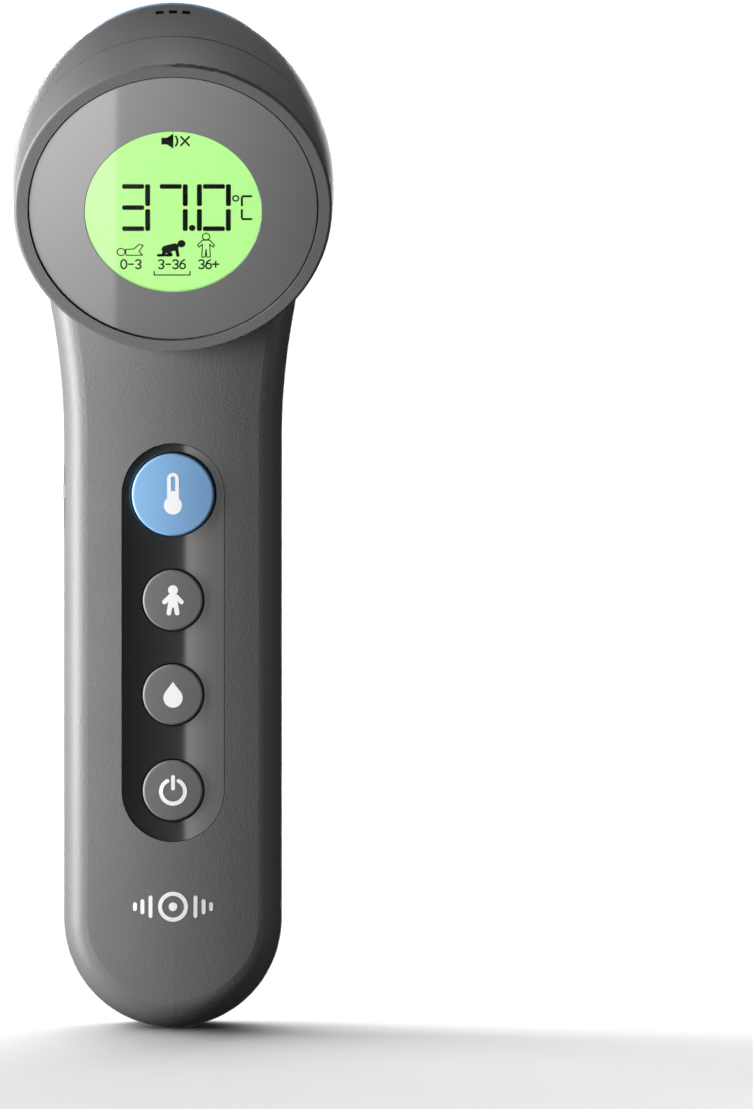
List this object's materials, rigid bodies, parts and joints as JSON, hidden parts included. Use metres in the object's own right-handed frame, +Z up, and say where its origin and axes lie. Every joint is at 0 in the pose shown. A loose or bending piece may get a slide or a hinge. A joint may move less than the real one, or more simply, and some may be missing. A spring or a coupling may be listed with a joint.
{
  "type": "infrared forehead thermometer",
  "caption": "Handheld no-touch infrared thermometer with a tilted round display head, a keypad on a straight handle, a battery door and a sensor ring.",
  "frame": {"origin": "middle of the bounding box's underside, below the rounded end of the handle", "axes": "+Z up the handle to the head, -Y the side with the keypad and display, +X to the right seen from that side"},
  "size_m": [0.0512, 0.0528, 0.1644],
  "materials": {
    "housing_grey": "fine spark-eroded grain",
    "button_grey": "satin moulded plastic with white printed symbols",
    "button_blue": "satin pale blue plastic with a white printed symbol",
    "keypad_dark": "gloss moulded panel",
    "lens_smoke": "gloss acrylic with a printed grey border and a clear window",
    "ring_blue": "frosted translucent blue plastic",
    "inner_black": "matte black moulding",
    "slider_light": "light grey moulded plastic",
    "lcd_glass": "lit display glass",
    "white_plastic": "white moulding",
    "board_green": "glass-fibre board with solder mask",
    "flex_amber": "polyimide film",
    "steel": "zinc-plated steel",
    "sensor_metal": "turned aluminium",
    "cell_wrap": "plain foil-wrapped cell",
    "soft_foam": "foam tape",
    "filter_dark": "coated silicon window",
    "small_parts": "ceramic chips",
    "led_white": "clear moulded lamps"
  },
  "bodies": {
    "root": {"battery_left": "cell_wrap", "battery_right": "cell_wrap", "battery_tray": "inner_black", "board_screws": "steel", "buzzer": "inner_black", "capacitors": "small_parts", "contact_bridge": "steel", "contact_plates": "steel", "contact_springs": "steel", "crystal": "steel", "display_lens": "lens_smoke", "front_housing": "housing_grey", "guidance_leds": "led_white", "housing_screws": "steel", "infrared_sensor": "steel", "keypad_panel": "keypad_dark", "lcd_backlight": "white_plastic", "lcd_frame": "white_plastic", "lcd_panel": "lcd_glass", "lcd_ribbon": "flex_amber", "lcd_screws": "steel", "led_board": "board_green", "lens_adhesive": "soft_foam", "main_board": "board_green", "memory_chip": "inner_black", "microcontroller": "inner_black", "mute_switch": "inner_black", "rear_housing": "housing_grey", "sensor_block": "sensor_metal", "sensor_board": "board_green", "sensor_cable": "flex_amber", "sensor_cone": "inner_black", "sensor_filter": "filter_dark", "sensor_gasket": "soft_foam", "sensor_ring": "ring_blue", "sensor_screws": "steel", "tact_switches": "inner_black"},
    "door": {"battery_door": "housing_grey"},
    "measure_key": {"measure_button": "button_blue", "measure_plunger": "slider_light"},
    "age_key": {"age_button": "button_grey", "age_plunger": "slider_light"},
    "liquid_key": {"liquid_button": "button_grey", "liquid_plunger": "slider_light"},
    "power_key": {"power_button": "button_grey", "power_plunger": "slider_light"},
    "mute_key": {"mute_slider": "slider_light", "mute_lever": "slider_light"}
  },
  "joints": [
    {"name": "door_hinge", "type": "hinge", "parent": "root", "child": "door", "pos_m": [0, 0.02374, 0.011], "axis": [-1, 0, 0], "range_deg": [0, 75]},
    {"name": "measure_press", "type": "slide", "parent": "root", "child": "measure_key", "axis": [0, 1, 0], "range_m": [0, 0.0006], "stiffness_N_per_m": 1500, "springref_m": -0.0002},
    {"name": "age_press", "type": "slide", "parent": "root", "child": "age_key", "axis": [0, 1, 0], "range_m": [0, 0.0006], "stiffness_N_per_m": 1500, "springref_m": -0.0002},
    {"name": "liquid_press", "type": "slide", "parent": "root", "child": "liquid_key", "axis": [0, 1, 0], "range_m": [0, 0.0006], "stiffness_N_per_m": 1500, "springref_m": -0.0002},
    {"name": "power_press", "type": "slide", "parent": "root", "child": "power_key", "axis": [0, 1, 0], "range_m": [0, 0.0006], "stiffness_N_per_m": 1500, "springref_m": -0.0002},
    {"name": "mute_slide", "type": "slide", "parent": "root", "child": "mute_key", "axis": [0, 0, 1], "range_m": [-0.002, 0]}
  ]
}
